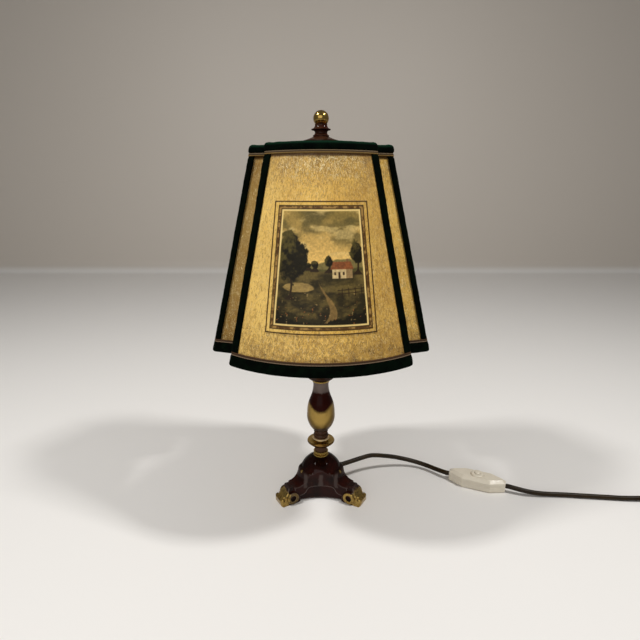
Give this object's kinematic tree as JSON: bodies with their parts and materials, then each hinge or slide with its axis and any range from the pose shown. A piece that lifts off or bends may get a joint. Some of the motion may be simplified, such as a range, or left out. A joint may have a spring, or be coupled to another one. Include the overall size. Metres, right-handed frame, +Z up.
{
  "type": "table lamp",
  "caption": "Small table lamp with a scroll-footed cast base, a turned brass stem, an inline push switch on its cord, and a bowed, notched parchment shade edged in velvet.",
  "frame": {"origin": "on the table under the axis of the stem, the middle of the lamp's footprint without its cord", "axes": "+Z up along the stem, -Y towards the front with the picture, +X to the side where the cord leaves"},
  "size_m": [0.5469, 0.2563, 0.4001],
  "materials": {
    "dark_lacquer": "semi-gloss brown lacquer worn to brass on its edges",
    "polished_brass": "polished, lightly aged",
    "patinated_brass": "polished below, browned above",
    "steel": "satin",
    "parchment": "aged gold parchment with fine creases",
    "picture": "satin printed paper",
    "velvet": "dark green velvet pile",
    "braid": "antique gold braid",
    "cord_sheath": "satin golden brown",
    "switch_plastic": "satin ivory",
    "holder_plastic": "glossy",
    "opal_glass": "opal"
  },
  "bodies": {
    "stand": {"base_casting": "dark_lacquer", "base_washer": "steel", "base_nut": "steel", "threaded_tube": "steel", "ring_collar": "polished_brass", "neck_spindle": "dark_lacquer", "saucer_disc": "polished_brass", "bead_rings": "dark_lacquer", "baluster": "patinated_brass", "gallery_ring": "polished_brass", "flared_cup": "dark_lacquer", "harp_saddle": "polished_brass", "holder_cap": "holder_plastic", "holder_barrel": "holder_plastic", "holder_contact": "polished_brass", "harp_ferrules": "polished_brass", "harp_bail": "polished_brass", "harp_stud": "polished_brass", "cord_bush": "cord_sheath", "inner_wires": "cord_sheath", "cord_lead": "cord_sheath", "switch_lower_shell": "switch_plastic", "switch_upper_shell": "switch_plastic", "switch_bezel": "switch_plastic", "button_spring": "steel", "switch_screws": "steel", "cord_run": "cord_sheath", "cord_coil": "cord_sheath", "coil_tie": "cord_sheath", "cord_tail": "cord_sheath", "plug_relief": "cord_sheath", "plug_body": "cord_sheath", "plug_pins": "polished_brass"},
    "shade": {"shade_spider": "steel", "shade_top_ring": "steel", "shade_bottom_ring": "steel", "shade_ribs": "steel", "panel_front": "parchment", "panel_right": "parchment", "panel_back": "parchment", "panel_left": "parchment", "corner_front_right": "parchment", "corner_back_right": "parchment", "corner_back_left": "parchment", "corner_front_left": "parchment", "velvet_top": "velvet", "velvet_bottom": "velvet", "velvet_edges": "velvet", "braid_top": "braid", "braid_bottom": "braid", "picture_front": "picture"},
    "finial": {"finial_cap": "dark_lacquer", "finial_collar": "dark_lacquer", "finial_ball": "polished_brass"},
    "bulb": {"bulb_cap": "steel", "bulb_glass": "opal_glass"},
    "button": {"switch_button": "switch_plastic"}
  },
  "joints": [
    {"name": "shade_turn", "type": "hinge", "parent": "stand", "child": "shade", "pos_m": [0, 0, 0.3709], "axis": [0, 0, 1], "continuous": true},
    {"name": "finial_turn", "type": "hinge", "parent": "stand", "child": "finial", "pos_m": [0, 0, 0.3767], "axis": [0, 0, 1], "continuous": true},
    {"name": "bulb_turn", "type": "hinge", "parent": "stand", "child": "bulb", "pos_m": [0, 0, 0.19], "axis": [0, 0, 1], "continuous": true},
    {"name": "button_press", "type": "slide", "parent": "stand", "child": "button", "axis": [0, 0, -1], "range_m": [0, 0.002], "stiffness_N_per_m": 500, "deforming": ["button_spring"]}
  ]
}
